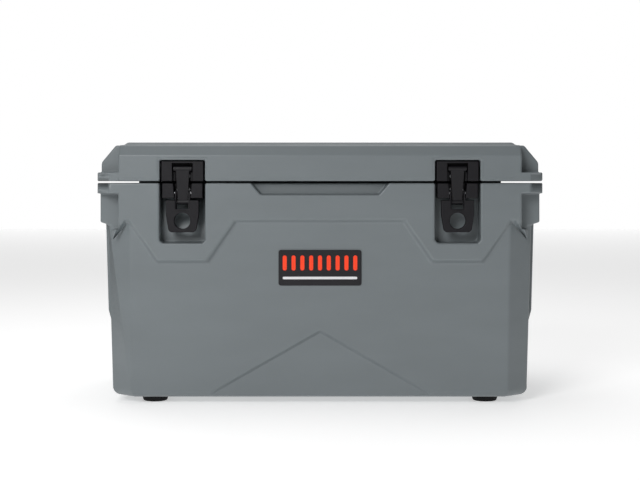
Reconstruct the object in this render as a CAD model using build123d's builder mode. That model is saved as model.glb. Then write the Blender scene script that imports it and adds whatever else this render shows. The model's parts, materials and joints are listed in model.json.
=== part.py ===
from build123d import *
import math
import os

os.makedirs("parts", exist_ok=True)

# A rotomoulded hard cooler: a foam-filled double-walled tub on four rubber feet, a foam-filled
# lid on a rear hinge, two draw latches, two swing handles and a drain.
# Millimetres, +Z up, front towards -Y, origin on the floor at the middle of the overall box.

# ---- driving sizes: tub and lid ----
overall_length = 775.0  # across the flanges
overall_depth = 445.0  # front of the flanges to the back of the hinges
tub_height = 372.3  # underside of the body to the rim
foot_height = 11.0
lid_gap = 3.2  # rim to lid
lid_height = 62.5  # underside of the lid to its shoulder
skin = 5.0  # moulded wall
draft = 1.5  # degrees, sides of the tub and the cavity

tub_flange = 18.0
lid_flange = 15.0
flange_cut = 25.0  # corner cut of both flanges
wall_end = 76.0  # flange edge to the cavity, at the ends
wall_long = 58.0  # flange edge to the cavity, front and rear
floor_thickness = 47.0
cavity_corner = 32.0
cavity_floor_round = 18.0
liner_ring = 12.0  # cavity edge to the liner's outer edge, on the rim
liner_drop = 16.0  # the liner's drain boss, below the cavity floor

band_rise = 6.0  # front band proud of the front panel, at the flange
band_height = 45.3  # front band below the flange
band_bevel = 12.0
band_wing = 10.0  # beyond each drop, before the band rises to the corner notch
band_wing_rise = 16.0
band_wing_gap = 4.5  # band's end to the corner notch
hex_drop = 69.5  # the band's six-sided drop round each latch
hex_half_top = 90.8
hex_half_low = 41.9
end_inset = 15.5  # flange edge to the plain end of the tub
facet_x = 43.0  # corner facet, along the front
facet_y = 34.0  # corner facet, along the end
bottom_round = 16.0
shoulder_inset = 3.5  # flange edge to the shoulder round the ends and rear
shoulder_height = 50.3
shoulder_slope = (34.0, 11.0)  # run in and drop of its underside
end_panel_half = 141.0  # raised panel on each end
end_panel_rise = 9.0
end_panel_heights = (113.0, 147.0)  # foot and top of its lower slope, above the underside

peak_height = 118.0  # peaked recess at the foot of the front, above the underside
peak_slope = 0.571
peak_depth = 5.0

notch_x = 40.0  # corner notch, in from the end of the flange
notch_y = 35.0  # corner notch, back from the front
notch_drop = 62.0
grip_half_top = 118.7  # finger recess under the front of the lid
grip_half_low = 102.0
grip_drop = 19.8
grip_depth = 20.0

lid_side_inset = 5.5
lid_end_chamfer = (25.0, 30.0)
lid_long_chamfer = (12.0, 18.0)
lid_panel_inset = (46.5, 24.0)
lid_panel_rise = 5.0
lid_panel_slope = 45.0  # degrees, edge of the raised top panel
lid_front_relief = 0.8  # strip along the foot of the lid's front and round each latch pocket
lid_strip_height = 5.5
lid_strip_margin = 4.0
lid_strip_corner = 7.0
lid_plug = 18.0  # how far the lid reaches into the cavity
lid_plug_clear = 4.0
gasket_width = 8.0
gasket_groove = 3.0
gasket_lift = 0.2  # gasket to rim
gasket_offset = 4.0  # cavity edge to the gasket

# ---- driving sizes: hardware ----
latch_x = 237.2  # middle of each latch
pocket_width = 78.4
pocket_depth = 32.0
pocket_drop = 103.3  # below the rim
pocket_over_hook = 14.8  # above the axis of the link's hook
pocket_cut = 5.0
latch_inset = 3.0  # front to the face of the keeper and the base
lever_inset = 1.5
base_floor = 8.0  # base behind its slot
keeper_floor = 10.0
lever_pivot = (10.5, 17.3)  # back from the front, down from the rim
link_pivot = (14.0, 32.6)
hook_pivot_in = 8.5
base_drop = 26.1  # rim to the foot of the base
lever_under = 3.6  # base to the top of the lever
keeper_width = 72.6
base_width = 69.7
keeper_rim = 2.0  # keeper's top below the pocket's
keeper_slot_rim = 5.5
keeper_slot_side = 2.0  # slot beyond each end of the hook bar
base_gap = 0.5  # base below the rim
latch_chamfer = 0.8
ledge_gap = 0.9  # link to the ledge beside it
lever_width = 56.8
lever_width_low = 46.4
lever_height = 55.3
lever_thickness = 10.0
lever_hole_r = 13.9
lever_corner = 7.0
lever_hole_rise = 20.0  # foot of the lever to its finger hole
lever_straight = 25.6  # height of the lever's upright sides
cheek_root = 18.0  # how far the cheeks run down behind the lever
cheek_root_in = 1.0
lever_notch = 23.6
lever_notch_drop = 15.0
base_slot_top = 32.7
base_slot_low = 27.4
cheek_in = 10.4  # lever cheeks, from the middle of the latch
cheek_out = 13.2
cheek_r = 5.0
link_width = 23.4
link_width_low = 16.3
link_thickness = 7.0
link_reach = 57.5  # between the link's two axes, upright
hook_bar_r = 4.8
hook_bar_width = 31.5
barrel_r = 5.0
barrel_width = 20.0
lever_pin_r = 2.5
link_pin_r = 2.0
pin_setback = 1.0  # pin's end inside its bore

knuckle_r = 11.0
knuckle_gap = 1.0  # between the tub's and the lid's knuckles
hinge_web = 35.2  # foot of the hinge's web below the pin
hinge_web_back = (8.8, 6.6)  # its rear corner, behind and below the pin
hinge_web_lift = 2.0  # foot of the lid's web, above the pin
hinge_pin_chamfer = 0.6
hinge_pin_r = 4.0
hinge_x = 230.0
hinge_reach = 23.0  # rear of the flange to the back of the knuckles
knuckle_half = 32.0  # lid knuckle
hinge_half = 75.0  # whole hinge

foot_r = 24.0
foot_r_low = 20.7
foot_x = 291.0
foot_y = 148.0
foot_screw_r = 2.5
foot_bore = 5.0
foot_bore_r = 8.0
foot_boss = 24.0  # solid above each foot
foot_screw_bite = 16.0  # screw in the boss
foot_chamfer = 1.0
foot_screw_head = (6.5, 3.0)  # radius and height

handle_pin_r = 4.0
handle_half = 92.0  # middle of each handle arm from the middle of the tub
handle_drop = 66.0
handle_arm = 12.0
handle_width = 18.0
handle_bar_r = 7.0
grip_r = 12.5
grip_length = 150.0
handle_pocket_half = 100.0
handle_pocket_depth = 20.0  # behind the pin
handle_pocket_under = 20.0  # pocket below the axis of the grip
handle_axis_in = 7.0  # pin's axis from the end of the tub
handle_axis_drop = 25.0  # and below the shoulder
handle_pocket_over = 14.0  # pocket above the pin
handle_pin_seat = 12.0
handle_boss = 15.0  # solid at each side of the pocket

drain_r = 10.0  # through the bushing
drain_wall = 5.0
drain_flange_r = 24.0
drain_flange = 4.0
drain_recess_r = 31.0
drain_recess = 16.0
drain_head_r = 19.0
drain_seal = 1.6
drain_seal_in = 1.5  # seal inside the edge of the plug's head
drain_lift = 7.0  # drain's axis above the cavity floor
drain_inner_in = 2.0  # bushing's end from the cavity's wall
drain_head = 6.0
drain_thread_clear = 0.1
drain_key = (32.3, 7.0, 4.0)  # length, width and height of the bar on the plug's head
plug_reach = 22.0

badge_length = 143.0
badge_height = 61.4
badge_thickness = 2.5
badge_corner = 4.0
badge_relief = 0.8
badge_z = 237.0
badge_bar = (7.0, 26.0, 3.4)  # length, height and corner of each bar
badge_bar_pitch = 15.2
badge_bar_rise = 8.5
badge_line = (128.6, 4.4, 2.1)
badge_line_drop = 17.5

padlock_r = 5.0
padlock_x = 22.5  # in from the end of the flange
padlock_y = 19.0  # back from the front
running = 0.05  # radial clearance of a pin that turns
clear = 0.4  # between faces that pass each other
lap = 1.0  # by which two features of one piece overlap
screw_x = 8.0  # each side of the middle of the latch
screw_r = 2.0
screw_head_r = 4.0
screw_length = 16.0
keeper_screw_rise = 9.0  # above the underside of the lid
base_screw_drop = 12.0  # below the rim

# ---- places worked out from them ----
half_length = overall_length / 2
front_y = -overall_depth / 2
rear_y = overall_depth / 2 - hinge_reach
mid_y = (front_y + rear_y) / 2
half_depth = (rear_y - front_y) / 2

body_low = foot_height
rim_z = body_low + tub_height
flange_low = rim_z - tub_flange
lid_low = rim_z + lid_gap
lid_flange_top = lid_low + lid_flange
lid_shoulder = lid_low + lid_height
cavity_low = body_low + floor_thickness
cavity_x = half_length - wall_end
cavity_y = half_depth - wall_long
slope = math.tan(math.radians(draft))

body_x = half_length - end_inset  # plain body at the flange
body_y = half_depth - band_rise
shoulder_x = half_length - shoulder_inset
shoulder_low = flange_low - shoulder_height
notch_inner = half_length - notch_x
notch_back = front_y + notch_y
lid_x = half_length - lid_side_inset

hinge_y = rear_y + hinge_reach - knuckle_r
hinge_z = (rim_z + lid_low) / 2
sides = {"left": -1, "right": 1}

# latch: depths are measured back from the front, heights from the rim
pocket_back = front_y + pocket_depth
latch_face = front_y + latch_inset
lever_face = front_y + lever_inset
slot_back = pocket_back - base_floor
keeper_back = pocket_back - keeper_floor
lever_axis = (front_y + lever_pivot[0], rim_z - lever_pivot[1])
link_axis = (front_y + link_pivot[0], rim_z - link_pivot[1])
hook_axis = (front_y + hook_pivot_in, link_axis[1] + link_reach)
pocket_rise = hook_axis[1] + pocket_over_hook - lid_low
base_low = rim_z - base_drop
lever_top = base_low - lever_under
lever_low = lever_top - lever_height

# handle: pin axis in the end pockets
handle_axis_x = body_x - handle_axis_in
handle_axis_z = shoulder_low - handle_axis_drop
handle_grip_z = handle_axis_z - handle_drop
handle_floor_x = handle_axis_x - handle_pocket_depth
handle_pocket_low = handle_grip_z - handle_pocket_under
handle_pocket_height = handle_axis_z + handle_pocket_over - handle_pocket_low
drain_z = cavity_low + drain_lift
drain_face = body_x - (flange_low - drain_z) * slope - drain_recess
drain_inner = cavity_x - (rim_z - drain_z) * slope + drain_inner_in
drain_head_x = drain_face + drain_flange + drain_seal + drain_head
keeper_screw_z = lid_low + keeper_screw_rise
base_screw_z = rim_z - base_screw_drop


ends_at = (Align.CENTER, Align.CENTER, Align.MIN)
hangs = (Align.CENTER, Align.MAX)
stands = (Align.CENTER, Align.MIN)


def level(height):
    """A plane at a height, centred on the tub."""
    return Plane(origin=(0, mid_y, height))


def across(y):
    """A plane facing the front: local x is X, local y is Z."""
    return Plane.XZ.offset(-y)


def along(x):
    """A plane facing the right end: local x is Y, local y is Z."""
    return Plane.YZ.offset(x)


def mirrored(points):
    """Points on the +X side, then the same points on the -X side in return order."""
    return points + [(-x, y) for x, y in reversed(points)]


def shifted(points, x, y=0.0):
    return [(px + x, py + y) for px, py in points]


def cut_corners(half_x, half_y, cut_x, cut_y):
    """A rectangle about the origin with its four corners cut off."""
    right = [(half_x - cut_x, -half_y), (half_x, cut_y - half_y)]
    right += [(half_x, half_y - cut_y), (half_x - cut_x, half_y)]
    return mirrored(right)


def cut_rear(half_x, near_y, far_y, cut):
    """A rectangle from near_y to far_y with its two rear corners cut off."""
    return mirrored([(half_x, near_y), (half_x, far_y - cut), (half_x - cut, far_y)])


def spread(points, amount):
    """The outline moved outwards by an amount, corner for corner (points run anticlockwise)."""
    moved = []
    for before, here, after in zip(points[-1:] + points, points, points[1:] + points[:1]):
        corner = Vector(*here)
        side_in = (corner - Vector(*before)).normalized()
        side_out = (Vector(*after) - corner).normalized()
        normal_in = Vector(side_in.Y, -side_in.X)
        normal_out = Vector(side_out.Y, -side_out.X)
        reach = amount / (1 + normal_in.dot(normal_out))
        corner += (normal_in + normal_out) * reach
        moved.append((corner.X, corner.Y))
    return moved


def screw_row(side_sign, height):
    """Two screws side by side in the middle of a latch."""
    return [(side_sign * latch_x + x, height) for x in (-screw_x, screw_x)]


def body_inset(height):
    """How far the drafted sides of the tub have come in at a height."""
    return (flange_low - height) * slope


def finish(piece, name):
    piece.part.label = name
    export_step(piece.part, f"parts/{name}.step")


tilt = math.radians(draft)
panel_plane = Plane(
    origin=(0, front_y + band_rise, flange_low),
    x_dir=(1, 0, 0),
    z_dir=(0, -math.cos(tilt), -math.sin(tilt)),
)
foot_places = {
    "front_left": (-foot_x, mid_y - foot_y),
    "front_right": (foot_x, mid_y - foot_y),
    "rear_left": (-foot_x, mid_y + foot_y),
    "rear_right": (foot_x, mid_y + foot_y),
}
pocket_outline = [
    (pocket_width / 2 - pocket_cut, rim_z - pocket_drop),
    (pocket_width / 2, rim_z - pocket_drop + pocket_cut),
    (pocket_width / 2, lid_low + pocket_rise),
]
keepout = [
    (pocket_width / 2 + skin, rim_z - pocket_drop - skin),
    (pocket_width / 2 + skin, lid_low + pocket_rise + skin),
]

# ---- cavity: the space inside, cut from the shell and the foam ----
with BuildPart() as cavity:
    with BuildSketch(level(rim_z)):
        RectangleRounded(2 * cavity_x, 2 * cavity_y, cavity_corner)
    extrude(amount=cavity_low - rim_z, taper=draft)
    fillet(cavity.faces().sort_by(Axis.Z)[0].edges(), cavity_floor_round)

# ---- peaked recess at the foot of the front, cut from the shell ----
peak_top = (body_low + peak_height - flange_low) / math.cos(tilt)
peak_foot = (body_low - 2 * bottom_round - flange_low) / math.cos(tilt)
peak_outline = [
    (0, peak_top),
    ((peak_foot - peak_top) / peak_slope, peak_foot),
    ((peak_top - peak_foot) / peak_slope, peak_foot),
]
with BuildPart() as peak:
    with BuildSketch(panel_plane.offset(peak_depth)):
        Polygon(*spread(peak_outline, peak_depth), align=None)
    with BuildSketch(panel_plane.offset(-peak_depth)):
        Polygon(*spread(peak_outline, -peak_depth), align=None)
    loft(ruled=True)

# ---- tub foam: fills the body a skin's thickness in from every face ----
with BuildPart() as tub_foam:
    with BuildSketch(level(flange_low)):
        Polygon(*cut_corners(body_x - skin, body_y - skin, facet_x, facet_y), align=None)
    extrude(amount=body_low + skin - flange_low, taper=draft)
    fillet(tub_foam.faces().sort_by(Axis.Z)[0].edges(), bottom_round - skin)
    with BuildSketch(level(flange_low)):
        RectangleRounded(2 * (cavity_x + skin), 2 * (cavity_y + skin), cavity_corner + skin)
    extrude(amount=cavity_low - skin - flange_low, taper=draft, mode=Mode.SUBTRACT)
    for sign in sides.values():
        with BuildSketch(across(front_y)):
            Polygon(*shifted(mirrored(keepout), sign * latch_x), align=None)
        extrude(amount=-(pocket_depth + screw_length - base_floor + skin), mode=Mode.SUBTRACT)
        with BuildSketch(level(flange_low)):
            with Locations((sign * (half_length - notch_x / 2), notch_back - mid_y - notch_y / 2)):
                Rectangle(notch_x + 2 * skin, notch_y + 2 * skin)
        extrude(amount=-(notch_drop + skin), mode=Mode.SUBTRACT)
        with BuildSketch(along(sign * (handle_floor_x - skin))):
            with Locations((mid_y, handle_pocket_low + handle_pocket_height / 2)):
                Rectangle(2 * (handle_pocket_half + handle_boss), handle_pocket_height + 2 * skin)
        extrude(amount=sign * half_length, mode=Mode.SUBTRACT)
    with BuildSketch(across(front_y)):
        with Locations((0, rim_z - grip_drop)):
            Rectangle(2 * (grip_half_top + skin), 2 * grip_drop)
    extrude(amount=-(grip_depth + skin), mode=Mode.SUBTRACT)
    with BuildSketch(panel_plane.offset(-peak_depth - skin)):
        with Locations((0, (body_low - flange_low) / math.cos(tilt))):
            Triangle(a=2 * peak_height / peak_slope, B=30, C=30, align=(Align.CENTER, Align.MIN))
    extrude(amount=peak_depth + skin, mode=Mode.SUBTRACT)
    with BuildSketch(Plane.XY.offset(body_low)):
        with Locations(*foot_places.values()):
            Circle(foot_r / 2)
    extrude(amount=foot_boss, mode=Mode.SUBTRACT)
    with BuildSketch(along(0)):
        with Locations((mid_y, drain_z)):
            Circle(drain_r + drain_wall + skin)
    extrude(amount=half_length, mode=Mode.SUBTRACT)
    with BuildSketch(along(body_x - body_inset(drain_z) - drain_recess - skin)):
        with Locations((mid_y, drain_z)):
            Circle(drain_recess_r + skin)
    extrude(amount=half_length, mode=Mode.SUBTRACT)
finish(tub_foam, "tub_foam")

# ---- tub walls, inside and out, with the shoulder, front band, end panels and hinge knuckles ----
with BuildPart() as tub_walls:
    with BuildSketch(level(flange_low)):
        Polygon(*cut_corners(body_x, body_y, facet_x, facet_y), align=None)
    extrude(amount=body_low - flange_low, taper=draft)
    fillet(tub_walls.faces().sort_by(Axis.Z)[0].edges(), bottom_round)
    with BuildSketch(level(flange_low)):
        Polygon(*cut_corners(half_length, half_depth, flange_cut, flange_cut), align=None)
    extrude(amount=tub_flange)

    # raised panel on each end
    panel_foot, panel_break = (body_low + z for z in end_panel_heights)
    panel_outline = [
        (cavity_x + skin, panel_foot),
        (body_x - body_inset(panel_foot), panel_foot),
        (body_x - body_inset(panel_break) + end_panel_rise, panel_break),
        (body_x - body_inset(shoulder_low) + end_panel_rise, shoulder_low),
        (cavity_x + skin, shoulder_low),
    ]
    with BuildSketch(across(mid_y + end_panel_half)):
        Polygon(*panel_outline, align=None)
        mirror(about=Plane.YZ)
    extrude(amount=2 * end_panel_half)

    # shoulder round the ends and the rear, with its sloping underside
    run_in, run_down = shoulder_slope
    with BuildSketch(Plane.XY.offset(shoulder_low)):
        Polygon(*cut_rear(shoulder_x, notch_back, rear_y, flange_cut), align=None)
    extrude(amount=shoulder_height)
    with BuildSketch(Plane.XY.offset(shoulder_low)):
        Polygon(*cut_rear(shoulder_x, notch_back, rear_y, flange_cut), align=None)
    with BuildSketch(Plane.XY.offset(shoulder_low - run_down)):
        Polygon(*cut_rear(shoulder_x - run_in, notch_back, rear_y - run_in, flange_cut), align=None)
    loft(ruled=True)

    # front band, dropping round each latch
    band_low = flange_low - band_height
    hex_low = band_low - hex_drop
    band_outline = mirrored(
        [
            (latch_x - hex_half_top, band_low),
            (latch_x - hex_half_low, hex_low),
            (latch_x + hex_half_low, hex_low),
            (latch_x + hex_half_top, band_low),
            (latch_x + hex_half_top + band_wing, band_low),
            (notch_inner + band_wing_gap, band_low - band_wing_rise),
            (notch_inner + band_wing_gap, flange_low),
        ]
    )
    with BuildSketch(across(front_y)):
        Polygon(*band_outline, align=None)
    with BuildSketch(across(front_y + band_bevel)):
        Polygon(*spread(band_outline, band_bevel * 2 / 3), align=None)
    loft(ruled=True)

    # hinge knuckles
    for sign in sides.values():
        for half in (-1, 1):
            offset = half * (hinge_half + knuckle_half + knuckle_gap) / 2
            with BuildSketch(along(sign * hinge_x + offset)):
                with Locations((hinge_y, hinge_z)):
                    Circle(knuckle_r)
                Polygon(
                    (rear_y - skin, hinge_z - clear),
                    (rear_y - skin, hinge_z - hinge_web),
                    (rear_y, hinge_z - hinge_web),
                    (hinge_y + hinge_web_back[0], hinge_z - hinge_web_back[1]),
                    (hinge_y, hinge_z - clear),
                    align=None,
                )
            extrude(amount=(hinge_half - knuckle_half - knuckle_gap) / 2, both=True)
    with BuildSketch(along(0)):
        with Locations((hinge_y, hinge_z)):
            Circle(hinge_pin_r)
    extrude(amount=half_length, both=True, mode=Mode.SUBTRACT)
    with BuildSketch(level(rim_z)):
        with Locations((0, half_depth / 2)):
            Rectangle(overall_length, half_depth)
    extrude(amount=lid_gap, mode=Mode.SUBTRACT)

    # corner notches under the flange, with the padlock holes through it
    for sign in sides.values():
        with BuildSketch(Plane.XY.offset(flange_low)):
            with Locations((sign * (notch_inner + notch_x), front_y)):
                Rectangle(2 * notch_x, 2 * notch_y)
        extrude(amount=-notch_drop, mode=Mode.SUBTRACT)
        with BuildSketch(Plane.XY.offset(rim_z)):
            with Locations((sign * (half_length - padlock_x), front_y + padlock_y)):
                Circle(padlock_r)
        extrude(amount=-tub_flange, mode=Mode.SUBTRACT)

        # latch pocket, handle pocket
        with BuildSketch(across(front_y)):
            Polygon(*shifted(mirrored(pocket_outline), sign * latch_x), align=None)
        extrude(amount=-pocket_depth, mode=Mode.SUBTRACT)
        with BuildSketch(along(sign * handle_floor_x)):
            with Locations((mid_y, handle_pocket_low + handle_pocket_height / 2)):
                Rectangle(2 * handle_pocket_half, handle_pocket_height)
        extrude(amount=sign * (body_x + end_panel_rise - handle_floor_x), mode=Mode.SUBTRACT)

    # finger recess, peaked recess, cavity, foam
    with BuildSketch(across(front_y)):
        Polygon(
            (-grip_half_top, rim_z),
            (-grip_half_low, rim_z - grip_drop),
            (grip_half_low, rim_z - grip_drop),
            (grip_half_top, rim_z),
            align=None,
        )
    extrude(amount=-grip_depth, mode=Mode.SUBTRACT)
    add(peak.part, mode=Mode.SUBTRACT)
    add(cavity.part, mode=Mode.SUBTRACT)
    add(tub_foam.part, mode=Mode.SUBTRACT)

    # holes for the screws, the handle pins and the drain
    for sign in sides.values():
        with BuildSketch(across(pocket_back)):
            with Locations(*screw_row(sign, base_screw_z)):
                Circle(screw_r)
        extrude(amount=slot_back - pocket_back - screw_length, mode=Mode.SUBTRACT)
        with BuildSketch(across(mid_y)):
            with Locations((sign * handle_axis_x, handle_axis_z)):
                Circle(handle_pin_r)
        extrude(amount=handle_pocket_half + handle_pin_seat, both=True, mode=Mode.SUBTRACT)
    with BuildSketch(Plane.XY.offset(body_low)):
        with Locations(*foot_places.values()):
            Circle(foot_screw_r)
    extrude(amount=foot_screw_bite, mode=Mode.SUBTRACT)
    for near, far, radius in (
        (drain_inner - 3 * drain_r, drain_inner, drain_r),
        (drain_inner, drain_face, drain_r + drain_wall),
        (drain_face, half_length, drain_recess_r),
    ):
        with BuildSketch(along(near)):
            with Locations((mid_y, drain_z)):
                Circle(radius)
        extrude(amount=far - near, mode=Mode.SUBTRACT)

# ---- liner and shell: the walls part along the middle of the foam, from the rim down ----
with BuildPart() as liner_space:
    with BuildSketch(level(cavity_low - liner_drop)):
        RectangleRounded(2 * (cavity_x + liner_ring), 2 * (cavity_y + liner_ring), cavity_corner + liner_ring)
    extrude(amount=rim_z - cavity_low + liner_drop)
with BuildPart() as tub_liner:
    add(tub_walls.part)
    add(liner_space.part, mode=Mode.INTERSECT)
finish(tub_liner, "tub_liner")
with BuildPart() as tub_shell:
    add(tub_walls.part)
    add(liner_space.part, mode=Mode.SUBTRACT)
finish(tub_shell, "tub_shell")

# ---- lid: profile, underside plug and foam ----
plug_x = cavity_x - lid_plug_clear
plug_y = cavity_y - lid_plug_clear
plug_corner = cavity_corner - lid_plug_clear
end_run, end_fall = lid_end_chamfer
long_run, long_fall = lid_long_chamfer
panel_in_x, panel_in_y = lid_panel_inset

with BuildPart() as lid_foam:
    with BuildSketch(level(lid_low + skin)):
        Rectangle(2 * (lid_x - end_run - skin), 2 * (half_depth - long_run - skin))
    extrude(amount=lid_height - 2 * skin)
    with BuildSketch(level(lid_low + skin)):
        RectangleRounded(2 * (plug_x - skin), 2 * (plug_y - skin), plug_corner - skin)
    extrude(amount=-lid_plug, taper=draft)
    for sign in sides.values():
        with BuildSketch(across(front_y)):
            Polygon(*shifted(mirrored(keepout), sign * latch_x), align=None)
        extrude(amount=-(pocket_depth + screw_length - base_floor + skin), mode=Mode.SUBTRACT)
        with BuildSketch(Plane.XY.offset(lid_low)):
            with Locations((sign * half_length, front_y)):
                Rectangle(2 * (notch_x + skin), 2 * (notch_y + skin))
        extrude(amount=lid_height, mode=Mode.SUBTRACT)
finish(lid_foam, "lid_foam")

with BuildPart() as lid_shell:
    with BuildSketch(Plane.XY.offset(lid_flange_top - lap)):
        Polygon(*cut_rear(lid_x, front_y, rear_y, flange_cut), align=None)
    extrude(amount=lid_height - lid_flange + lap)
    end_outline = mirrored(
        [(lid_x, lid_low), (lid_x, lid_shoulder - end_fall), (lid_x - end_run, lid_shoulder)]
    )
    with BuildSketch(across(rear_y)):
        Polygon(*end_outline, align=None)
    extrude(amount=2 * half_depth, mode=Mode.INTERSECT)
    with BuildSketch(along(-half_length)):
        Polygon(
            (front_y, lid_low),
            (rear_y, lid_low),
            (rear_y, lid_shoulder - long_fall),
            (rear_y - long_run, lid_shoulder),
            (front_y + long_run, lid_shoulder),
            (front_y, lid_shoulder - long_fall),
            align=None,
        )
    extrude(amount=overall_length, mode=Mode.INTERSECT)
    with BuildSketch(level(lid_shoulder)):
        Rectangle(2 * (half_length - panel_in_x), 2 * (half_depth - panel_in_y))
    extrude(amount=lid_panel_rise, taper=lid_panel_slope)
    for sign in sides.values():
        with BuildSketch(Plane.XY.offset(lid_flange_top)):
            with Locations((sign * (notch_inner + notch_x), front_y)):
                Rectangle(2 * notch_x, 2 * notch_y)
        extrude(amount=lid_height, mode=Mode.SUBTRACT)
    with BuildSketch(level(lid_low)):
        Polygon(*cut_corners(half_length, half_depth, flange_cut, flange_cut), align=None)
    extrude(amount=lid_flange)
    with BuildSketch(level(lid_low)):
        RectangleRounded(2 * plug_x, 2 * plug_y, plug_corner)
    extrude(amount=-lid_plug, taper=draft)

    for sign in sides.values():
        with BuildSketch(across(front_y)):
            Polygon(*shifted(mirrored(pocket_outline), sign * latch_x), align=None)
        extrude(amount=-pocket_depth, mode=Mode.SUBTRACT)
        with BuildSketch(Plane.XY.offset(lid_flange_top)):
            with Locations((sign * (half_length - padlock_x), front_y + padlock_y)):
                Circle(padlock_r)
        extrude(amount=-lid_flange, mode=Mode.SUBTRACT)
        with BuildSketch(along(sign * hinge_x)):
            with Locations((hinge_y, hinge_z)):
                Circle(knuckle_r)
            Polygon(
                (rear_y - skin, hinge_z + hinge_web_lift),
                (hinge_y, hinge_z + hinge_web_lift),
                (hinge_y, hinge_z + knuckle_r),
                (rear_y - skin, hinge_z + knuckle_r),
                align=None,
            )
        extrude(amount=knuckle_half, both=True)
    with BuildSketch(along(0)):
        with Locations((hinge_y, hinge_z)):
            Circle(hinge_pin_r + running)
    extrude(amount=half_length, both=True, mode=Mode.SUBTRACT)
    with BuildSketch(across(front_y)) as relief:
        with Locations((0, lid_low)):
            Rectangle(2 * notch_inner, lid_strip_height, align=stands)
        for sign in sides.values():
            with Locations((sign * latch_x, lid_low)):
                Rectangle(
                    pocket_width + 2 * lid_strip_margin, pocket_rise + lid_strip_margin, align=stands
                )
        inner_corners = relief.vertices().filter_by(
            lambda v: abs(v.Z - lid_low - lid_strip_height) < clear and abs(v.X) < notch_inner - clear
        )
        fillet(inner_corners, lid_strip_corner)
    extrude(amount=-lid_front_relief, mode=Mode.SUBTRACT)
    with BuildSketch(level(lid_low)):
        for out, mode in ((gasket_width, Mode.ADD), (0.0, Mode.SUBTRACT)):
            reach = gasket_offset + out
            RectangleRounded(
                2 * (cavity_x + reach), 2 * (cavity_y + reach), cavity_corner + reach, mode=mode
            )
    extrude(amount=gasket_groove, mode=Mode.SUBTRACT)
    add(lid_foam.part, mode=Mode.SUBTRACT)
    for sign in sides.values():
        with BuildSketch(across(pocket_back)):
            with Locations(*screw_row(sign, keeper_screw_z)):
                Circle(screw_r)
        extrude(amount=keeper_back - pocket_back - screw_length, mode=Mode.SUBTRACT)
finish(lid_shell, "lid_shell")

with BuildPart() as lid_gasket:
    with BuildSketch(level(rim_z + gasket_lift)):
        for out, mode in ((gasket_width, Mode.ADD), (0.0, Mode.SUBTRACT)):
            reach = gasket_offset + out
            RectangleRounded(
                2 * (cavity_x + reach), 2 * (cavity_y + reach), cavity_corner + reach, mode=mode
            )
    extrude(amount=lid_gap + gasket_groove - gasket_lift)
finish(lid_gasket, "lid_gasket")

# ---- hinge pins ----
for side, sign in sides.items():
    with BuildPart() as hinge_pin:
        with BuildSketch(along(sign * hinge_x)):
            with Locations((hinge_y, hinge_z)):
                Circle(hinge_pin_r)
        extrude(amount=hinge_half - pin_setback, both=True)
        chamfer(hinge_pin.faces().filter_by(GeomType.PLANE).edges(), hinge_pin_chamfer)
    finish(hinge_pin, f"hinge_pin_{side}")

# ---- latches: keeper, base, lever, link, pins and screws; the link swings between the stub pins ----
hook_face = hook_axis[0] + hook_bar_r + clear  # the ledge stands just behind the hook bar
hook_ledge = hook_axis[1] - hook_bar_r - clear  # and just under it
ledge_in = link_width / 2 + ledge_gap
ledge_out = hook_bar_width / 2 + keeper_slot_side
lever_hole_z = lever_low + lever_hole_rise
straight_low = lever_top - lever_straight


def across_screws(sign, y, height):
    """Two countersunk screws driven towards the rear, heads flush with the plane at y."""
    for x, z in screw_row(sign, height):
        with Locations(Plane((x, y, z), x_dir=(1, 0, 0), z_dir=(0, 1, 0))):
            Cone(screw_head_r, screw_r, screw_head_r - screw_r, align=ends_at)
            Cylinder(screw_r, screw_length, align=ends_at)


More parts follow.
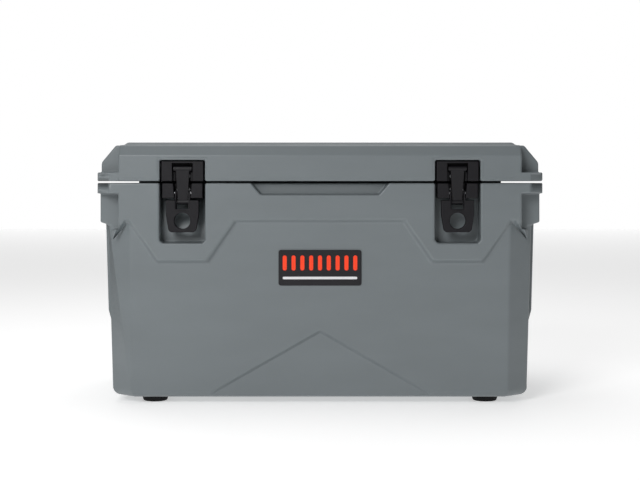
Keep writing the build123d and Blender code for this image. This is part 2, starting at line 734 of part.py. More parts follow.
for side, sign in sides.items():
    centre = sign * latch_x

    with BuildPart() as keeper:
        with BuildSketch(across(latch_face)):
            with Locations((centre, lid_low)):
                Rectangle(keeper_width, pocket_rise - keeper_rim, align=stands)
        extrude(amount=latch_face - pocket_back)
        chamfer(keeper.faces().sort_by(Axis.Y)[0].edges(), latch_chamfer)
        with BuildSketch(across(latch_face)):
            with Locations((centre, lid_low)):
                Rectangle(
                    hook_bar_width + 2 * keeper_slot_side, pocket_rise - keeper_slot_rim, align=stands
                )
        extrude(amount=latch_face - keeper_back, mode=Mode.SUBTRACT)
        with BuildSketch(across(hook_face)):
            for half in (-1, 1):
                middle = (ledge_in + ledge_out) / 2
                with Locations((centre + half * middle, lid_low)):
                    Rectangle(ledge_out - ledge_in, hook_ledge - lid_low, align=stands)
        extrude(amount=hook_face - keeper_back)
        for x, z in screw_row(sign, keeper_screw_z):
            with Locations(Plane((x, keeper_back, z), x_dir=(1, 0, 0), z_dir=(0, -1, 0))):
                CounterSinkHole(screw_r, screw_head_r, counter_sink_angle=90)
    finish(keeper, f"latch_keeper_{side}")

    with BuildPart() as base:
        with BuildSketch(across(latch_face)):
            with Locations((centre, base_low)):
                Rectangle(base_width, rim_z - base_gap - base_low, align=stands)
        extrude(amount=latch_face - pocket_back)
        chamfer(base.faces().sort_by(Axis.Y)[0].edges(), latch_chamfer)
        with BuildSketch(across(latch_face)):
            slot_points = [(base_slot_low / 2, base_low), (base_slot_top / 2, rim_z)]
            Polygon(*shifted(mirrored(slot_points), centre), align=None)
        extrude(amount=latch_face - slot_back, mode=Mode.SUBTRACT)
        for x, z in screw_row(sign, base_screw_z):
            with Locations(Plane((x, slot_back, z), x_dir=(1, 0, 0), z_dir=(0, -1, 0))):
                CounterSinkHole(screw_r, screw_head_r, counter_sink_angle=90)
        with BuildSketch(along(centre)):
            with Locations(lever_axis):
                Circle(lever_pin_r)
        extrude(amount=base_width, both=True, mode=Mode.SUBTRACT)
    finish(base, f"latch_base_{side}")

    with BuildPart() as lever:
        with BuildSketch(across(lever_face)) as lever_outline:
            lever_points = [
                (lever_width_low / 2, lever_low),
                (lever_width / 2, straight_low),
                (lever_width / 2, lever_top),
            ]
            Polygon(*shifted(mirrored(lever_points), centre), align=None)
            fillet(lever_outline.vertices().sort_by(Axis.Y)[:2], lever_corner)
            with Locations((centre, lever_top)):
                Rectangle(lever_notch, lever_notch_drop, align=hangs, mode=Mode.SUBTRACT)
            with Locations((centre, lever_hole_z)):
                Circle(lever_hole_r, mode=Mode.SUBTRACT)
        extrude(amount=-lever_thickness)
        chamfer(lever.faces().sort_by(Axis.Y)[0].edges(), latch_chamfer)
        for half in (-1, 1):
            with BuildSketch(along(centre + half * (cheek_in + cheek_out) / 2)):
                with Locations(lever_axis, link_axis):
                    Circle(cheek_r)
                with Locations((lever_face + lever_thickness / 2, lever_top - cheek_root)):
                    Circle(lever_thickness / 2 - cheek_root_in)
                make_hull()
                with Locations(lever_axis):
                    Circle(lever_pin_r + running, mode=Mode.SUBTRACT)
                with Locations(link_axis):
                    Circle(link_pin_r + running, mode=Mode.SUBTRACT)
            extrude(amount=(cheek_out - cheek_in) / 2, both=True)
    finish(lever, f"latch_lever_{side}")

    with BuildPart() as lever_pins:
        for half in (-1, 1):
            with BuildSketch(along(centre + half * cheek_in)):
                with Locations(lever_axis):
                    Circle(lever_pin_r)
            extrude(amount=half * (base_width / 2 - pin_setback - cheek_in))
    finish(lever_pins, f"latch_lever_pins_{side}")

    with BuildPart() as link_pin:
        with BuildSketch(along(centre)):
            with Locations(link_axis):
                Circle(link_pin_r)
        extrude(amount=cheek_out, both=True)
    finish(link_pin, f"latch_link_pin_{side}")

    with BuildPart() as link:
        half_thick = link_thickness / 2
        with BuildSketch(along(centre)):
            Polygon(
                (link_axis[0] - half_thick, link_axis[1]),
                (link_axis[0] + half_thick, link_axis[1]),
                (hook_axis[0] + half_thick, hook_axis[1]),
                (hook_axis[0] - half_thick, hook_axis[1]),
                align=None,
            )
        extrude(amount=link_width, both=True)
        with BuildSketch(across(front_y)):
            link_points = [(link_width_low / 2, link_axis[1]), (link_width / 2, hook_axis[1])]
            Polygon(*shifted(mirrored(link_points), centre), align=None)
        extrude(amount=-pocket_depth, mode=Mode.INTERSECT)
        for axis, radius, width in (
            (link_axis, barrel_r, barrel_width),
            (hook_axis, hook_bar_r, hook_bar_width),
        ):
            with BuildSketch(along(centre)):
                with Locations(axis):
                    Circle(radius)
            extrude(amount=width / 2, both=True)
        with BuildSketch(along(centre)):
            with Locations(link_axis):
                Circle(link_pin_r + running)
        extrude(amount=barrel_width, both=True, mode=Mode.SUBTRACT)
    finish(link, f"latch_link_{side}")

    for name, y, height in (
        ("keeper", keeper_back, keeper_screw_z),
        ("base", slot_back, base_screw_z),
    ):
        with BuildPart() as screws:
            across_screws(sign, y, height)
        finish(screws, f"latch_{name}_screws_{side}")

# ---- feet ----
for place, (x, y) in foot_places.items():
    with BuildPart() as foot:
        with BuildSketch(Plane.XY):
            with Locations((x, y)):
                Circle(foot_r_low)
        with BuildSketch(Plane.XY.offset(foot_height)):
            with Locations((x, y)):
                Circle(foot_r)
        loft()
        chamfer(foot.faces().sort_by(Axis.Z)[0].edges(), foot_chamfer)
        with Locations(Plane((x, y, 0), z_dir=(0, 0, -1))):
            CounterBoreHole(foot_screw_r + running, foot_bore_r, foot_bore)
    finish(foot, f"foot_{place}")

with BuildPart() as foot_screws:
    with Locations(*((x, y, foot_bore) for x, y in foot_places.values())):
        Cylinder(*foot_screw_head, align=(Align.CENTER, Align.CENTER, Align.MAX))
        Cylinder(foot_screw_r, foot_height - foot_bore + foot_screw_bite, align=ends_at)
finish(foot_screws, "foot_screws")

# ---- handles: a moulded bail on two pins in each end pocket, with a rubber grip ----
for side, sign in sides.items():
    with BuildPart() as bail:
        for half in (-1, 1):
            with BuildSketch(across(mid_y + half * handle_half)):
                with Locations(
                    (sign * handle_axis_x, handle_axis_z), (sign * handle_axis_x, handle_grip_z)
                ):
                    Circle(handle_width / 2)
                make_hull()
            extrude(amount=handle_arm / 2, both=True)
        with BuildSketch(across(mid_y)):
            with Locations((sign * handle_axis_x, handle_grip_z)):
                Circle(handle_bar_r)
        extrude(amount=handle_half, both=True)
        with BuildSketch(across(mid_y)):
            with Locations((sign * handle_axis_x, handle_axis_z)):
                Circle(handle_pin_r + running)
        extrude(amount=handle_pocket_half, both=True, mode=Mode.SUBTRACT)
    finish(bail, f"handle_bail_{side}")

    with BuildPart() as grip:
        with BuildSketch(across(mid_y)):
            with Locations((sign * handle_axis_x, handle_grip_z)):
                Circle(grip_r)
                Circle(handle_bar_r, mode=Mode.SUBTRACT)
        extrude(amount=grip_length / 2, both=True)
    finish(grip, f"handle_grip_{side}")

    with BuildPart() as handle_pins:
        for half in (-1, 1):
            inner = handle_half - handle_arm / 2 - pin_setback
            with BuildSketch(across(mid_y + half * inner)):
                with Locations((sign * handle_axis_x, handle_axis_z)):
                    Circle(handle_pin_r)
            extrude(amount=-half * (handle_pocket_half + handle_pin_seat - inner))
    finish(handle_pins, f"handle_pins_{side}")

# ---- drain in the right end: bushing, seal and screw plug ----
drain_parts = {
    "drain_bushing": [
        (drain_r, drain_r + drain_wall, drain_inner, drain_face),
        (drain_r, drain_flange_r, drain_face, drain_face + drain_flange),
    ],
    "drain_seal": [
        (drain_r, drain_head_r - drain_seal_in, drain_face + drain_flange, drain_face + drain_flange + drain_seal)
    ],
    "drain_plug": [
        (0, drain_r - drain_thread_clear, drain_face - plug_reach, drain_face + drain_flange + drain_seal),
        (0, drain_head_r, drain_face + drain_flange + drain_seal, drain_head_x),
    ],
}
for name, rings in drain_parts.items():
    with BuildPart() as drain_piece:
        for inner, outer, near, far in rings:
            with BuildSketch(along(near)):
                with Locations((mid_y, drain_z)):
                    Circle(outer)
                    if inner:
                        Circle(inner, mode=Mode.SUBTRACT)
            extrude(amount=far - near)
        if name == "drain_plug":
            with BuildSketch(along(drain_head_x)):
                with Locations((mid_y, drain_z)):
                    SlotOverall(*drain_key[:2])
            extrude(amount=drain_key[2])
    finish(drain_piece, name)

# ---- badge on the front panel ----
badge_y = (badge_z - flange_low) / math.cos(tilt)
badge_parts = {
    "badge_plate": (0.0, badge_thickness, badge_length, badge_height, badge_corner, [(0, 0)]),
    "badge_bars": (
        badge_thickness, badge_relief, *badge_bar,
        [(badge_bar_pitch * n, badge_bar_rise) for n in range(-4, 5)],
    ),
    "badge_line": (badge_thickness, badge_relief, *badge_line, [(0, -badge_line_drop)]),
}
for name, (lift, thickness, length, height, corner, places) in badge_parts.items():
    with BuildPart() as badge_piece:
        with BuildSketch(panel_plane.offset(lift)):
            with Locations(*((x, badge_y + y) for x, y in places)):
                RectangleRounded(length, height, corner)
        extrude(amount=thickness)
    finish(badge_piece, name)
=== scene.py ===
import bmesh
import bpy
import json
import math
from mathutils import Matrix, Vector, bvhtree, kdtree


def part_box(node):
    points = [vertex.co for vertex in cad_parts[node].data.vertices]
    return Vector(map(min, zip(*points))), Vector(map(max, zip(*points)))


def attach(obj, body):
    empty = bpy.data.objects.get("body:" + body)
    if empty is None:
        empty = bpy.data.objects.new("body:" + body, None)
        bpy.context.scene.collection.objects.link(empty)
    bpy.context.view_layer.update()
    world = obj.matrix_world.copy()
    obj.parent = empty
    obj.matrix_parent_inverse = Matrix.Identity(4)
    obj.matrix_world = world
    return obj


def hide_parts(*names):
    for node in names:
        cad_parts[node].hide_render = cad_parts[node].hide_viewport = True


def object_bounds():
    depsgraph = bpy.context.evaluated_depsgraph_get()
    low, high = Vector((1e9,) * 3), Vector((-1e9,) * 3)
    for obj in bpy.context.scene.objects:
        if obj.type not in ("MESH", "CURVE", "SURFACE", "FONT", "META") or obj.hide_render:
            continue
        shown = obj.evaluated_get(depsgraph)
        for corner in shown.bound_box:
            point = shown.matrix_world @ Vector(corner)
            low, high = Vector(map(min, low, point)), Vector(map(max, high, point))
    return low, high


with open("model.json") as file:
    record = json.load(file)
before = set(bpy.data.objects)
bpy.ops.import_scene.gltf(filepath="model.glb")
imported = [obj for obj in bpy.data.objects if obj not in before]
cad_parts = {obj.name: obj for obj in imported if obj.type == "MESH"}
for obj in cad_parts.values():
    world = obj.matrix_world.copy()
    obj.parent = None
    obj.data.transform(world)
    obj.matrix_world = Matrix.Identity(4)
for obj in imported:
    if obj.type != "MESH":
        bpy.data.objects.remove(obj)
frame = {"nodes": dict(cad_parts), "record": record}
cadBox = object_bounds()
nodes = frame["nodes"]
record = frame["record"]
mm = 0.001
bodyOf = {n: body for body, members in record["behaviour"]["bodies"].items() for n in members}
slotOf = {part["node"]: part["material_slot"] for part in record["subparts"]}
sides = ("left", "right")
print("frame loaded,", len(nodes), "nodes")


def linear(red, green, blue):
    return [((c / 255 + 0.055) / 1.055) ** 2.4 if c > 10 else c / 3294.6 for c in (red, green, blue)]


def startMaterial(name):
    mat = bpy.data.materials.new(name)
    mat.use_nodes = True
    tree = mat.node_tree
    tree.nodes.clear()
    shader = tree.nodes.new("ShaderNodeBsdfPrincipled")
    out = tree.nodes.new("ShaderNodeOutputMaterial")
    place = tree.nodes.new("ShaderNodeTexCoord")
    tree.links.new(shader.outputs["BSDF"], out.inputs["Surface"])
    return mat, tree, shader, place.outputs["Object"]


def noise(tree, place, scale, detail=2.0, stretch=(1, 1, 1), roughness=0.5):
    mapping = tree.nodes.new("ShaderNodeMapping")
    mapping.inputs["Scale"].default_value = stretch
    node = tree.nodes.new("ShaderNodeTexNoise")
    node.inputs["Scale"].default_value = scale
    node.inputs["Detail"].default_value = detail
    node.inputs["Roughness"].default_value = roughness
    tree.links.new(place, mapping.inputs["Vector"])
    tree.links.new(mapping.outputs["Vector"], node.inputs["Vector"])
    return node.outputs["Fac"]


def between(tree, factor, low, high, start=0.3, end=0.7):
    node = tree.nodes.new("ShaderNodeMapRange")
    node.inputs["From Min"].default_value = start
    node.inputs["From Max"].default_value = end
    node.inputs["To Min"].default_value = low
    node.inputs["To Max"].default_value = high
    tree.links.new(factor, node.inputs["Value"])
    return node.outputs["Result"]


def blendColours(tree, factor, first, second, start=0.3, end=0.7):
    ramp = tree.nodes.new("ShaderNodeValToRGB")
    ramp.color_ramp.elements[0].position = start
    ramp.color_ramp.elements[0].color = (*first, 1)
    ramp.color_ramp.elements[1].position = end
    ramp.color_ramp.elements[1].color = (*second, 1)
    tree.links.new(factor, ramp.inputs["Fac"])
    return ramp.outputs["Color"]


def addBump(tree, shader, height, depth, strength=1.0):
    bump = tree.nodes.new("ShaderNodeBump")
    bump.inputs["Strength"].default_value = strength
    bump.inputs["Distance"].default_value = depth
    tree.links.new(height, bump.inputs["Height"])
    if shader.inputs["Normal"].links:
        tree.links.new(shader.inputs["Normal"].links[0].from_socket, bump.inputs["Normal"])
    tree.links.new(bump.outputs["Normal"], shader.inputs["Normal"])


def mouldedPlastic(name, look):  # cloudy colour, uneven gloss, orange peel and a fine grain
    mat, tree, shader, place = startMaterial(name)
    cloud = noise(tree, place, look["cloudScale"], 3, look.get("stretch", (1, 1, 1)))
    dark = [c * (1 - look["cloud"]) for c in look["colour"]]
    light = [c * (1 + look["cloud"]) for c in look["colour"]]
    tree.links.new(blendColours(tree, cloud, dark, light), shader.inputs["Base Color"])
    patch = noise(tree, place, look["peelScale"] * 0.31, 3)
    low, high = look["roughness"]
    tree.links.new(between(tree, patch, low, high), shader.inputs["Roughness"])
    shader.inputs["Specular IOR Level"].default_value = look.get("specular", 0.5)
    shader.inputs["Metallic"].default_value = look.get("metallic", 0.0)
    addBump(tree, shader, noise(tree, place, look["peelScale"], 1.5), look["peelDepth"])
    addBump(tree, shader, noise(tree, place, look["grainScale"], 2, look.get("stretch", (1, 1, 1))),
            look["grainDepth"])
    return mat


looks = {
    "shell": {
        "colour": linear(112, 119, 122), "cloud": 0.035, "cloudScale": 9, "stretch": (0.6, 1, 2.2),
        "roughness": (0.36, 0.46), "peelScale": 420, "peelDepth": 0.05 * mm, "grainScale": 1900,
        "grainDepth": 0.02 * mm,
    },
    "latch_plastic": {
        "colour": linear(20, 19, 23), "cloud": 0.08, "cloudScale": 60, "roughness": (0.44, 0.58),
        "specular": 0.25, "peelScale": 900, "peelDepth": 0.03 * mm, "grainScale": 3200,
        "grainDepth": 0.03 * mm,
    },
    "latch_link": {
        "colour": linear(18, 17, 21), "cloud": 0.06, "cloudScale": 80, "roughness": (0.36, 0.48),
        "specular": 0.3, "peelScale": 800, "peelDepth": 0.02 * mm, "grainScale": 3000,
        "grainDepth": 0.02 * mm,
    },
    "handle_plastic": {
        "colour": linear(30, 29, 33), "cloud": 0.07, "cloudScale": 40, "roughness": (0.4, 0.52),
        "peelScale": 700, "peelDepth": 0.03 * mm, "grainScale": 2800, "grainDepth": 0.03 * mm,
    },
    "drain_plastic": {
        "colour": linear(28, 28, 30), "cloud": 0.06, "cloudScale": 70, "roughness": (0.38, 0.5),
        "peelScale": 900, "peelDepth": 0.02 * mm, "grainScale": 3000, "grainDepth": 0.03 * mm,
    },
    "grip_rubber": {
        "colour": linear(22, 22, 24), "cloud": 0.1, "cloudScale": 50, "roughness": (0.62, 0.8),
        "peelScale": 1200, "peelDepth": 0.04 * mm, "grainScale": 4200, "grainDepth": 0.05 * mm,
        "specular": 0.35,
    },
    "foot_rubber": {
        "colour": linear(18, 18, 20), "cloud": 0.15, "cloudScale": 45, "roughness": (0.7, 0.88),
        "peelScale": 1000, "peelDepth": 0.06 * mm, "grainScale": 3600, "grainDepth": 0.06 * mm,
        "specular": 0.3,
    },
    "gasket_rubber": {
        "colour": linear(22, 22, 24), "cloud": 0.08, "cloudScale": 60, "roughness": (0.5, 0.66),
        "peelScale": 900, "peelDepth": 0.03 * mm, "grainScale": 3000, "grainDepth": 0.04 * mm,
    },
    "badge_black": {
        "colour": linear(20, 19, 24), "cloud": 0.05, "cloudScale": 90, "roughness": (0.36, 0.44),
        "specular": 0.35, "peelScale": 1100, "peelDepth": 0.02 * mm, "grainScale": 3800,
        "grainDepth": 0.03 * mm,
    },
    "badge_orange": {
        "colour": linear(255, 62, 4), "cloud": 0.03, "cloudScale": 120, "roughness": (0.4, 0.5),
        "peelScale": 1200, "peelDepth": 0.01 * mm, "grainScale": 3800, "grainDepth": 0.02 * mm,
    },
    "badge_white": {
        "colour": linear(226, 227, 229), "cloud": 0.03, "cloudScale": 120, "roughness": (0.4, 0.5),
        "peelScale": 1200, "peelDepth": 0.01 * mm, "grainScale": 3800, "grainDepth": 0.02 * mm,
    },
    "steel": {
        "colour": linear(190, 192, 195), "cloud": 0.06, "cloudScale": 300,
        "roughness": (0.22, 0.38), "peelScale": 1500, "peelDepth": 0.01 * mm, "grainScale": 5200,
        "grainDepth": 0.02 * mm, "metallic": 1.0, "stretch": (0.1, 1, 1),
    },
}
materials = {slot: mouldedPlastic(slot, look) for slot, look in looks.items()}

foamLook = {"light": linear(238, 222, 172), "dark": linear(206, 184, 128), "cellScale": 900,
            "cellDepth": 0.5 * mm, "roughness": 0.9}


def cellFoam(look):
    mat, tree, shader, place = startMaterial("foam")
    cells = tree.nodes.new("ShaderNodeTexVoronoi")
    cells.inputs["Scale"].default_value = look["cellScale"]
    tree.links.new(place, cells.inputs["Vector"])
    tree.links.new(blendColours(tree, cells.outputs["Distance"], look["dark"], look["light"], 0.0, 0.6),
                   shader.inputs["Base Color"])
    addBump(tree, shader, cells.outputs["Distance"], look["cellDepth"])
    shader.inputs["Roughness"].default_value = look["roughness"]
    return mat


materials["foam"] = cellFoam(foamLook)
print("materials made:", len(materials))


# softened copies: every sharp edge gets a rounding that its faces have room for
softening = {
    "sharpAngle": math.radians(20), "flatAngle": math.radians(0.4), "mergeDistance": 0.002 * mm,
    "segments": 3, "reach": 2.4, "share": 0.42, "seamRounding": 0.8 * mm, "leastRounding": 0.06 * mm,
    "samples": (0.12, 0.5, 0.88), "sampleStep": 1.2 * mm, "flatness": 0.03 * mm, "sideways": 0.6,
    "farOff": 0.5, "leastArea": 1e-10, "repairs": 9, "repairReach": 0.5, "normalWeight": 80,
}


def sharpEdges(bm):
    return [e for e in bm.edges
            if len(e.link_faces) == 2 and e.calc_face_angle() > softening["sharpAngle"]]


def roomBeside(edge, face, tree, marks, reach):  # free width of the face beside an edge, up to reach
    a, b = (v.co for v in edge.verts)
    loop = next(l for l in face.loops if l.edge == edge)
    inward = face.normal.cross((loop.link_loop_next.vert.co - loop.vert.co).normalized())
    own = set(edge.verts)
    room = reach
    for share in softening["samples"]:
        here = a.lerp(b, share)
        for spot, index, distance in tree.find_range(here, reach):
            other = marks[index]
            step = spot - here
            if other is edge or own & set(other.verts):
                continue
            if abs(step.dot(face.normal)) > softening["flatness"]:
                continue
            depth = step.dot(inward)
            if depth > softening["sideways"] * distance:
                room = min(room, depth)
    return room


def edgeTree(edges):
    spots, marks = [], []
    for edge in edges:
        a, b = (v.co for v in edge.verts)
        count = max(1, int((b - a).length / softening["sampleStep"]))
        for i in range(count):
            spots.append(a.lerp(b, (i + 0.5) / count))
            marks.append(edge)
    tree = kdtree.KDTree(len(spots))
    for i, spot in enumerate(spots):
        tree.insert(spot, i)
    tree.balance()
    return tree, marks


def misplaced(mesh, guide, width):  # where a rounding left the surface or folded over
    limit = softening["farOff"] * width
    spots = [v.co.copy() for v in mesh.vertices if guide.find_nearest(v.co)[3] > limit]
    mesh.calc_loop_triangles()
    for tri in mesh.loop_triangles:
        if tri.area < softening["leastArea"]:
            continue
        corners = [mesh.vertices[i].co for i in tri.vertices]
        centre = sum(corners, Vector()) / 3
        near, normal, index, distance = guide.find_nearest(centre)
        facing = (corners[1] - corners[0]).cross(corners[2] - corners[0])
        if distance < softening["flatness"] and normal.dot(facing) < 0:
            spots.append(centre)
    return spots


def evaluated(piece):
    bpy.context.view_layer.update()
    return bpy.data.meshes.new_from_object(piece.evaluated_get(bpy.context.evaluated_depsgraph_get()))


def softened(node, width, hold=None):
    mesh = nodes[node].data.copy()
    mesh.name = node + "_soft"
    bm = bmesh.new()
    bm.from_mesh(mesh)
    bmesh.ops.remove_doubles(bm, verts=bm.verts, dist=softening["mergeDistance"])
    bmesh.ops.dissolve_limit(bm, angle_limit=softening["flatAngle"], verts=bm.verts, edges=bm.edges)
    bm.normal_update()
    guide = bvhtree.BVHTree.FromBMesh(bm)
    bm.edges.ensure_lookup_table()
    edges = sharpEdges(bm)
    tree, marks = edgeTree(edges)
    owners = [edge.index for edge in marks]
    weights = {}
    for edge in edges:
        reach = softening["reach"] * width
        room = min(roomBeside(edge, face, tree, marks, reach) for face in edge.link_faces)
        weights[edge.index] = min(1.0, softening["share"] * room / width)
        if hold and all(hold(v.co) for v in edge.verts):
            weights[edge.index] = min(weights[edge.index], softening["seamRounding"] / width)
    bm.to_mesh(mesh)
    bm.free()
    for polygon in mesh.polygons:
        polygon.use_smooth = True
    mesh.attributes.new("bevel_weight_edge", "FLOAT", "EDGE")
    piece = bpy.data.objects.new(node + "_soft", mesh)
    bpy.context.scene.collection.objects.link(piece)
    bevel = piece.modifiers.new("rounding", "BEVEL")
    bevel.limit_method = "WEIGHT"
    bevel.width = width
    bevel.segments = softening["segments"]
    bevel.use_clamp_overlap = False
    for attempt in range(softening["repairs"]):
        layer = mesh.attributes["bevel_weight_edge"]
        for i, weight in weights.items():
            kept = weight * width > softening["leastRounding"]
            layer.data[i].value = weight if kept else 0.0
            mesh.edges[i].use_edge_sharp = not kept
        mesh.update()
        result = evaluated(piece)
        wrong = misplaced(result, guide, width)
        if not wrong:
            break
        reached = set()
        for spot in wrong:
            around = tree.find(spot)[2] + softening["repairReach"] * (1 + attempt) * width
            reached.update(owners[index] for near, index, distance in tree.find_range(spot, around))
        for i in reached:
            weights[i] = 0.0
    normals = piece.modifiers.new("normals", "WEIGHTED_NORMAL")
    normals.mode = "FACE_AREA"
    normals.weight = softening["normalWeight"]
    normals.keep_sharp = True
    result = evaluated(piece)
    piece.modifiers.clear()
    piece.data = result
    print("softened", node, len(result.polygons), "faces,", len(wrong), "faults left")
    return piece


def standFor(piece, node):
    piece.data.materials.clear()
    piece.data.materials.append(materials[slotOf[node]])
    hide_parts(node)
    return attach(piece, bodyOf[node])


# tub and lid
moulding = {"rounding": 3.4 * mm, "seamMargin": 0.5 * mm, "rimDepth": 1 * mm}
linerLow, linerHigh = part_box("tub_liner")


def besideLiner(spot):
    return all(linerLow[k] - moulding["seamMargin"] < spot[k] < linerHigh[k] + moulding["seamMargin"]
               for k in range(3))


def onRim(spot):
    return spot.z > linerHigh.z - moulding["rimDepth"]


standFor(softened("tub_shell", moulding["rounding"], hold=besideLiner), "tub_shell")
standFor(softened("tub_liner", moulding["rounding"], hold=onRim), "tub_liner")
standFor(softened("lid_shell", moulding["rounding"]), "lid_shell")

# badge plate
badge = {"rounding": 1.2 * mm}
standFor(softened("badge_plate", badge["rounding"]), "badge_plate")

# feet
feet = {"rounding": 1.5 * mm, "places": ("front_left", "front_right", "rear_left", "rear_right")}
for place in feet["places"]:
    standFor(softened("foot_" + place, feet["rounding"]), "foot_" + place)


# repeats grown with geometry nodes
def newGroup(name, inputs):
    group = bpy.data.node_groups.new(name, "GeometryNodeTree")
    group.interface.new_socket("Geometry", in_out="OUTPUT", socket_type="NodeSocketGeometry")
    for label, kind in inputs.items():
        group.interface.new_socket(label, in_out="INPUT", socket_type="NodeSocket" + kind)
    return group, group.nodes.new("NodeGroupInput"), group.nodes.new("NodeGroupOutput")


def joined(group, links):
    for source, target in links:
        group.links.new(source, target)


def grown(name, group, values):
    piece = bpy.data.objects.new(name, bpy.data.meshes.new(name))
    bpy.context.scene.collection.objects.link(piece)
    repeat = piece.modifiers.new("repeat", "NODES")
    repeat.node_group = group
    for item in group.interface.items_tree:
        if item.in_out == "INPUT":
            repeat[item.identifier] = values[item.name]
    result = evaluated(piece)
    piece.modifiers.clear()
    piece.data = result
    for polygon in result.polygons:
        polygon.use_smooth = True
    print("grown", name, len(result.polygons), "faces")
    return piece


def ringRow():  # rings in a row along Y
    group, given, out = newGroup("ringRow", {
        "Count": "Int", "Spacing": "Float", "Start": "Vector",
        "Ring Radius": "Float", "Section Radius": "Float",
        "Depth Change": "Float", "Seed": "Int", "Material": "Material"})
    add = group.nodes.new
    ring = add("GeometryNodeCurvePrimitiveCircle")
    section = add("GeometryNodeCurvePrimitiveCircle")
    sweep = add("GeometryNodeCurveToMesh")
    ring.inputs["Resolution"].default_value = handle["ringSides"]
    section.inputs["Resolution"].default_value = handle["sectionSides"]
    line, step = add("GeometryNodeMeshLine"), add("ShaderNodeCombineXYZ")
    place = add("GeometryNodeInstanceOnPoints")
    turn = add("FunctionNodeEulerToRotation")
    turn.inputs["Euler"].default_value = (math.pi / 2, 0, 0)
    vary, low, high = add("FunctionNodeRandomValue"), add("ShaderNodeMath"), add("ShaderNodeMath")
    low.operation, high.operation = "SUBTRACT", "ADD"
    low.inputs[0].default_value = high.inputs[0].default_value = 1.0
    real, paint = add("GeometryNodeRealizeInstances"), add("GeometryNodeSetMaterial")
    size = [s for s in vary.inputs if s.type == "VALUE" and s.enabled]
    joined(group, [
        (given.outputs["Ring Radius"], ring.inputs["Radius"]),
        (given.outputs["Section Radius"], section.inputs["Radius"]),
        (ring.outputs["Curve"], sweep.inputs["Curve"]),
        (section.outputs["Curve"], sweep.inputs["Profile Curve"]),
        (given.outputs["Count"], line.inputs["Count"]),
        (given.outputs["Start"], line.inputs["Start Location"]),
        (given.outputs["Spacing"], step.inputs["Y"]), (step.outputs["Vector"], line.inputs["Offset"]),
        (line.outputs["Mesh"], place.inputs["Points"]), (sweep.outputs["Mesh"], place.inputs["Instance"]),
        (turn.outputs["Rotation"], place.inputs["Rotation"]),
        (given.outputs["Depth Change"], low.inputs[1]), (given.outputs["Depth Change"], high.inputs[1]),
        (low.outputs["Value"], size[0]), (high.outputs["Value"], size[1]),
        (given.outputs["Seed"], vary.inputs["Seed"]),
        (next(s for s in vary.outputs if s.enabled), place.inputs["Scale"]),
        (place.outputs["Instances"], real.inputs["Geometry"]),
        (real.outputs["Geometry"], paint.inputs["Geometry"]),
        (given.outputs["Material"], paint.inputs["Material"]),
        (paint.outputs["Geometry"], out.inputs["Geometry"])])
    return group


def ribCircle():  # ribs round an axis along X
    group, given, out = newGroup("ribCircle", {
        "Count": "Int", "Radius": "Float", "Centre": "Vector", "Rib Size": "Vector", "Seed": "Int",
        "Depth Change": "Float", "Material": "Material"})
    add = group.nodes.new
    circle, rib = add("GeometryNodeMeshCircle"), add("GeometryNodeMeshCube")
    index = add("GeometryNodeInputIndex")
    share, angle, spin = add("ShaderNodeMath"), add("ShaderNodeMath"), add("ShaderNodeCombineXYZ")
    share.operation, angle.operation = "DIVIDE", "MULTIPLY"
    angle.inputs[1].default_value = 2 * math.pi
    turn, place = add("FunctionNodeEulerToRotation"), add("GeometryNodeInstanceOnPoints")
    vary, low, high = add("FunctionNodeRandomValue"), add("ShaderNodeMath"), add("ShaderNodeMath")
    low.operation, high.operation = "SUBTRACT", "ADD"
    low.inputs[0].default_value = high.inputs[0].default_value = 1.0
    upright = add("GeometryNodeTransform")
    real, paint = add("GeometryNodeRealizeInstances"), add("GeometryNodeSetMaterial")
    upright.inputs["Rotation"].default_value = (0, math.pi / 2, 0)
    size = [s for s in vary.inputs if s.type == "VALUE" and s.enabled]
    joined(group, [
        (given.outputs["Count"], circle.inputs["Vertices"]),
        (given.outputs["Radius"], circle.inputs["Radius"]),
        (given.outputs["Rib Size"], rib.inputs["Size"]), (index.outputs["Index"], share.inputs[0]),
        (given.outputs["Count"], share.inputs[1]), (share.outputs["Value"], angle.inputs[0]),
        (angle.outputs["Value"], spin.inputs["Z"]), (spin.outputs["Vector"], turn.inputs["Euler"]),
        (circle.outputs["Mesh"], place.inputs["Points"]), (rib.outputs["Mesh"], place.inputs["Instance"]),
        (turn.outputs["Rotation"], place.inputs["Rotation"]),
        (given.outputs["Depth Change"], low.inputs[1]), (given.outputs["Depth Change"], high.inputs[1]),
        (low.outputs["Value"], size[0]), (high.outputs["Value"], size[1]),
        (given.outputs["Seed"], vary.inputs["Seed"]),
        (next(s for s in vary.outputs if s.enabled), place.inputs["Scale"]),
        (place.outputs["Instances"], upright.inputs["Geometry"]),
        (given.outputs["Centre"], upright.inputs["Translation"]),
        (upright.outputs["Geometry"], real.inputs["Geometry"]),
        (real.outputs["Geometry"], paint.inputs["Geometry"]),
        (given.outputs["Material"], paint.inputs["Material"]),
        (paint.outputs["Geometry"], out.inputs["Geometry"])])
    return group


def trim(piece, node):  # an added detail that moves with a node
    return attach(piece, bodyOf[node])


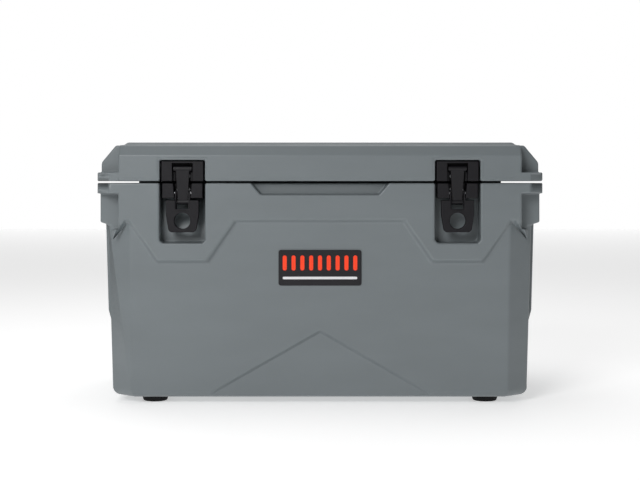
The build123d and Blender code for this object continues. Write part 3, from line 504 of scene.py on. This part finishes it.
# latches
latch = {"rounding": 0.9 * mm, "linkRounding": 1.2 * mm, "lipWidth": 20 * mm, "lipHeight": 2 * mm,
         "lipProud": 0.8 * mm, "lipZ": 335.5 * mm, "lipRounding": 0.6 * mm}
for side in sides:
    for part in ("latch_keeper_", "latch_base_", "latch_lever_"):
        standFor(softened(part + side, latch["rounding"]), part + side)
    standFor(softened("latch_link_" + side, latch["linkRounding"]), "latch_link_" + side)
    low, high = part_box("latch_lever_" + side)
    bm = bmesh.new()
    bmesh.ops.create_cube(bm, size=1)
    depth = 2 * latch["lipProud"]
    for v in bm.verts:
        v.co = Vector(((low.x + high.x) / 2 + v.co.x * latch["lipWidth"], low.y + v.co.y * depth,
                       latch["lipZ"] + v.co.z * latch["lipHeight"]))
    bmesh.ops.bevel(bm, geom=bm.edges[:], offset=latch["lipRounding"], segments=3, affect="EDGES")
    lip = bpy.data.objects.new("lever_lip_" + side, bpy.data.meshes.new("lever_lip_" + side))
    bm.to_mesh(lip.data)
    bm.free()
    lip.data.materials.append(materials["latch_plastic"])
    bpy.context.scene.collection.objects.link(lip)
    trim(lip, "latch_lever_" + side)

# handles, with rings round each grip
handle = {"rounding": 1.8 * mm, "gripRounding": 1.0 * mm, "rings": 24, "margin": 7 * mm, "sink": 0.35 * mm,
          "ring": 1.5 * mm, "change": 0.004, "seed": 5, "ringSides": 48, "sectionSides": 10}
rings = ringRow()
for side in sides:
    standFor(softened("handle_bail_" + side, handle["rounding"]), "handle_bail_" + side)
    grip = "handle_grip_" + side
    standFor(softened(grip, handle["gripRounding"]), grip)
    low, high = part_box(grip)
    spacing = (high.y - low.y - 2 * handle["margin"]) / (handle["rings"] - 1)
    trim(grown("grip_rings_" + side, rings, {
        "Count": handle["rings"], "Spacing": spacing,
        "Start": ((low.x + high.x) / 2, low.y + handle["margin"], (low.z + high.z) / 2),
        "Ring Radius": (high.z - low.z) / 2 - handle["sink"] - handle["ring"] / 2,
        "Section Radius": handle["ring"], "Depth Change": handle["change"], "Seed": handle["seed"],
        "Material": materials["grip_rubber"]}), grip)

# drain, with ribs round the plug's head
drain = {"rounding": 0.8 * mm, "plugRounding": 1.0 * mm, "ribs": 28, "rib": (1.4 * mm, 1.6 * mm, 4.4 * mm),
         "headHalf": 3.0 * mm, "keyHeight": 4.0 * mm, "headRadius": 19.0 * mm, "change": 0.01, "seed": 8}
standFor(softened("drain_bushing", drain["rounding"]), "drain_bushing")
standFor(softened("drain_plug", drain["plugRounding"]), "drain_plug")
low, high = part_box("drain_plug")
trim(grown("plug_ribs", ribCircle(), {
    "Count": drain["ribs"], "Radius": drain["headRadius"],
    "Centre": (high.x - drain["keyHeight"] - drain["headHalf"], (low.y + high.y) / 2, (low.z + high.z) / 2),
    "Rib Size": drain["rib"], "Seed": drain["seed"], "Depth Change": drain["change"],
    "Material": materials["drain_plastic"]}), "drain_plug")

# the other nodes keep their own surface
for node, thing in nodes.items():
    thing.data.materials.clear()
    thing.data.materials.append(materials[slotOf[node]])
print("pieces finished")

# stage, light, camera
front = cadBox[0][1]
camera = {"distance": 2.2, "height": 0.385, "lens": 71.95, "shift": -0.0906}
stage = {"floor": linear(240, 240, 240), "size": 16.0, "glow": 0.45, "backdrop": 1.0}
lamps = {
    "key": {"place": (-1.1, -2.7, 1.6), "aim": (-0.25, 0, 0.25), "size": 1.2, "power": 46},
    "fill": {"place": (1.9, -2.6, 1.2), "aim": (0, 0, 0.25), "size": 1.8, "power": 0.5},
    "top": {"place": (-0.2, 0.4, 2.3), "aim": (0, 0, 0.3), "size": 2.0, "power": 20},
}


def aimed(thing, place, target):
    thing.location = place
    thing.rotation_euler = (Vector(target) - Vector(place)).to_track_quat("-Z", "Y").to_euler()


def addFloor():
    mat, tree, shader, place = startMaterial("paleFloor")
    shade = [c * 0.99 for c in stage["floor"]]
    tree.links.new(blendColours(tree, noise(tree, place, 3), stage["floor"], shade), shader.inputs["Base Color"])
    shader.inputs["Roughness"].default_value = 0.9
    shader.inputs["Emission Color"].default_value = (1, 1, 1, 1)
    shader.inputs["Emission Strength"].default_value = stage["glow"]
    half = stage["size"] / 2
    addSheet("floor", [(-half, -half, 0), (half, -half, 0), (half, half, 0), (-half, half, 0)], mat)
    backdrop, tree, shader, place = startMaterial("backdrop")
    shader.inputs["Base Color"].default_value = (0, 0, 0, 1)
    shader.inputs["Specular IOR Level"].default_value = 0.0
    shader.inputs["Emission Color"].default_value = (1, 1, 1, 1)
    shader.inputs["Emission Strength"].default_value = stage["backdrop"]
    corners = [(-half, half, -1), (half, half, -1), (half, half, half), (-half, half, half)]
    addSheet("backdrop", corners, backdrop)


def addSheet(name, corners, mat):
    mesh = bpy.data.meshes.new(name)
    mesh.from_pydata(corners, [], [(0, 1, 2, 3)])
    mesh.materials.append(mat)
    sheet = bpy.data.objects.new(name, mesh)
    bpy.context.scene.collection.objects.link(sheet)


def addLamps():
    for name, lamp in lamps.items():
        light = bpy.data.lights.new(name, "AREA")
        light.size = lamp["size"]
        light.energy = lamp["power"]
        thing = bpy.data.objects.new(name, light)
        bpy.context.scene.collection.objects.link(thing)
        aimed(thing, lamp["place"], lamp["aim"])
    world = bpy.data.worlds.new("studio")
    bpy.context.scene.world = world
    world.use_nodes = True
    world.node_tree.nodes["Background"].inputs["Color"].default_value = (1, 1, 1, 1)
    world.node_tree.nodes["Background"].inputs["Strength"].default_value = 0.13


def addCamera():
    lens = bpy.data.cameras.new("camera")
    lens.lens = camera["lens"]
    lens.shift_y = camera["shift"]
    thing = bpy.data.objects.new("camera", lens)
    bpy.context.scene.collection.objects.link(thing)
    thing.location = (0, front - camera["distance"], camera["height"])
    thing.rotation_euler = (math.radians(90), 0, 0)
    bpy.context.scene.camera = thing


addFloor()
addLamps()
addCamera()
bpy.context.scene.view_settings.view_transform = "Standard"
print("stage, lamps and camera set")
